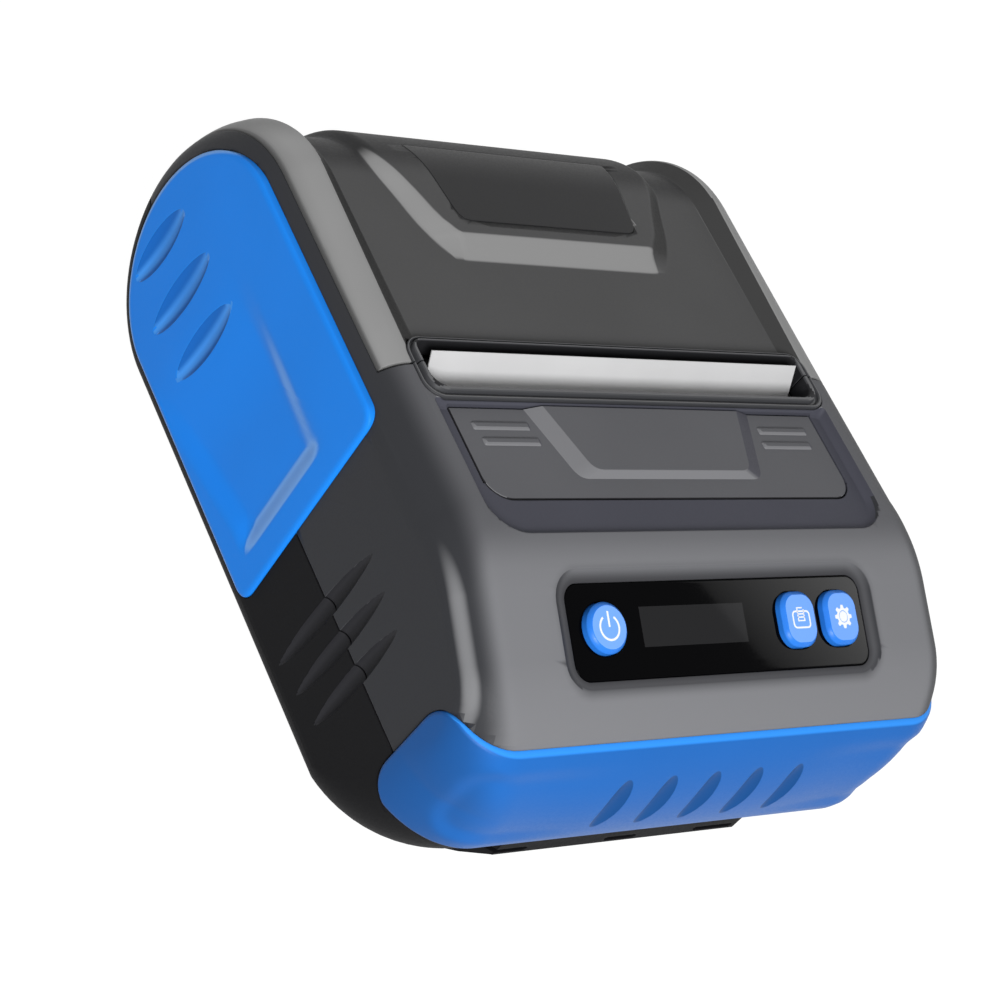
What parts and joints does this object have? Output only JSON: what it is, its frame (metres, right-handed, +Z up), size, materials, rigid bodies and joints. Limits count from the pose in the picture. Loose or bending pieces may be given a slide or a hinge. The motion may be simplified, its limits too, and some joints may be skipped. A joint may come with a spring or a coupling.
{
  "type": "label printer",
  "caption": "Portable label printer with a hinged roll cover, paper slot, sloping display with round and oblong keys, blue side plates and bumper, and a drop-out battery.",
  "frame": {"origin": "centre of the bounding box in plan, at the feet's resting plane", "axes": "+Z up, +X to the printer's right as seen from the front, -Y towards the display and the nose"},
  "size_m": [0.1042, 0.127, 0.0559],
  "materials": {
    "case_grey": "fine satin grain, mid-dark neutral grey",
    "case_black": "near-black satin plastic",
    "cover_grey": "dark grey satin plastic with lighter side rails",
    "blue_trim": "saturated azure blue, half gloss",
    "window_black": "smoked gloss window",
    "lens_black": "gloss black display lens",
    "screen": "dark unlit display",
    "key_blue": "gloss blue keys",
    "board_green": "solder mask",
    "steel": "plain bright steel",
    "aluminium": "milled aluminium",
    "ceramic": "print head ceramic",
    "roller": "ground black rubber",
    "rubber": "moulded rubber",
    "gear_white": "natural white plastic",
    "brass": "plain brass",
    "gold": "plated contact",
    "paper": "matt thermal label paper",
    "card": "wound card core",
    "tub_black": "black inner moulding"
  },
  "bodies": {
    "case": {"upper_case": "case_grey", "lower_case": "case_black", "side_plate_left": "blue_trim", "side_plate_right": "blue_trim", "front_bumper": "blue_trim", "slot_bezel_lower": "case_grey", "display_lens": "lens_black", "display_screen": "screen", "button_board": "board_green", "dome_switches": "steel", "main_board": "board_green", "roll_tub": "tub_black", "label_strip": "paper", "stepper_motor": "steel", "gear_bracket": "steel", "print_head": "ceramic", "heat_sink": "aluminium", "tear_bar": "steel", "hinge_pin": "steel", "cover_springs": "steel", "latch_spring": "steel", "media_sensor": "tub_black", "battery_contacts": "gold", "charging_socket": "steel", "rubber_feet": "rubber", "case_screws": "steel"},
    "cover": {"cover": "cover_grey", "cover_window": "window_black", "slot_bezel_upper": "cover_grey", "platen_bushes": "gear_white"},
    "platen": {"platen_shaft": "steel", "platen_rubber": "roller", "platen_gear": "gear_white"},
    "idler": {"idler_gear": "gear_white"},
    "compound": {"compound_gear": "gear_white"},
    "pinion": {"motor_pinion": "brass"},
    "release_panel": {"release_panel": "case_grey"},
    "latch": {"latch_lever": "gear_white"},
    "power_button": {"power_button": "key_blue"},
    "feed_button": {"feed_button": "key_blue"},
    "settings_button": {"settings_button": "key_blue"},
    "roll_holder_left": {"roll_holder_left": "tub_black"},
    "roll_holder_right": {"roll_holder_right": "tub_black"},
    "centring_pinion": {"centring_pinion": "gear_white"},
    "label_roll": {"label_roll": "paper", "roll_core": "card"},
    "battery_pack": {"battery_pack": "case_black"},
    "battery_latch": {"battery_latch": "case_black"},
    "port_flap": {"port_flap": "rubber"}
  },
  "joints": [
    {"name": "cover_hinge", "type": "hinge", "parent": "case", "child": "cover", "pos_m": [0, 0.0588, 0.022], "axis": [-1, 0, 0], "range_deg": [0, 88], "deforming": ["label_strip"]},
    {"name": "platen_spin", "type": "hinge", "parent": "cover", "child": "platen", "pos_m": [0, 0.0036, 0.0462], "axis": [1, 0, 0], "continuous": true},
    {"name": "idler_spin", "type": "hinge", "parent": "case", "child": "idler", "pos_m": [0, 0.00018, 0.0368], "axis": [1, 0, 0], "continuous": true},
    {"name": "compound_spin", "type": "hinge", "parent": "case", "child": "compound", "pos_m": [0, -0.00701, 0.03139], "axis": [1, 0, 0], "continuous": true},
    {"name": "pinion_spin", "type": "hinge", "parent": "case", "child": "pinion", "pos_m": [0, -0.01467, 0.02561], "axis": [1, 0, 0], "continuous": true},
    {"name": "release_press", "type": "hinge", "parent": "case", "child": "release_panel", "pos_m": [0, -0.0236, 0.0514], "axis": [-1, 0, 0], "range_deg": [0, 4], "stiffness_Nm_per_rad": 0.3},
    {"name": "latch_turn", "type": "hinge", "parent": "case", "child": "latch", "pos_m": [0, -0.008, 0.041], "axis": [1, 0, 0], "range_deg": [0, 4.8]},
    {"name": "power_press", "type": "slide", "parent": "case", "child": "power_button", "axis": [0, 0.3907, -0.9205], "range_m": [0, 0.0004], "stiffness_N_per_m": 400},
    {"name": "feed_press", "type": "slide", "parent": "case", "child": "feed_button", "axis": [0, 0.3907, -0.9205], "range_m": [0, 0.0004], "stiffness_N_per_m": 400},
    {"name": "settings_press", "type": "slide", "parent": "case", "child": "settings_button", "axis": [0, 0.3907, -0.9205], "range_m": [0, 0.0004], "stiffness_N_per_m": 400},
    {"name": "holder_left_slide", "type": "slide", "parent": "case", "child": "roll_holder_left", "axis": [-1, 0, 0], "range_m": [0, 0.0036]},
    {"name": "holder_right_slide", "type": "slide", "parent": "case", "child": "roll_holder_right", "axis": [1, 0, 0], "range_m": [0, 0.0036]},
    {"name": "centring_spin", "type": "hinge", "parent": "case", "child": "centring_pinion", "pos_m": [0, 0.036, 0.0058], "axis": [0, 0, 1], "range_deg": [0, 52]},
    {"name": "roll_spin", "type": "hinge", "parent": "case", "child": "label_roll", "pos_m": [0, 0.036, 0.028], "axis": [1, 0, 0], "continuous": true},
    {"name": "battery_slide", "type": "slide", "parent": "case", "child": "battery_pack", "axis": [0, 0, -1], "range_m": [0, 0.014]},
    {"name": "battery_latch_slide", "type": "slide", "parent": "case", "child": "battery_latch", "axis": [0, 1, 0], "range_m": [0, 0.003], "stiffness_N_per_m": 200},
    {"name": "port_flap_hinge", "type": "hinge", "parent": "case", "child": "port_flap", "pos_m": [0.0512, -0.032, 0.0107], "axis": [0, 1, 0], "range_deg": [0, 90]}
  ],
  "couplings": [
    {"joint": "idler_spin", "follows": "platen_spin", "ratio": -0.66667},
    {"joint": "compound_spin", "follows": "platen_spin", "ratio": 1.3333},
    {"joint": "pinion_spin", "follows": "platen_spin", "ratio": -4},
    {"joint": "latch_turn", "follows": "release_press", "ratio": 1.2},
    {"joint": "holder_right_slide", "follows": "holder_left_slide", "ratio": 1},
    {"joint": "centring_spin", "follows": "holder_left_slide", "rad_per_m": 250}
  ]
}
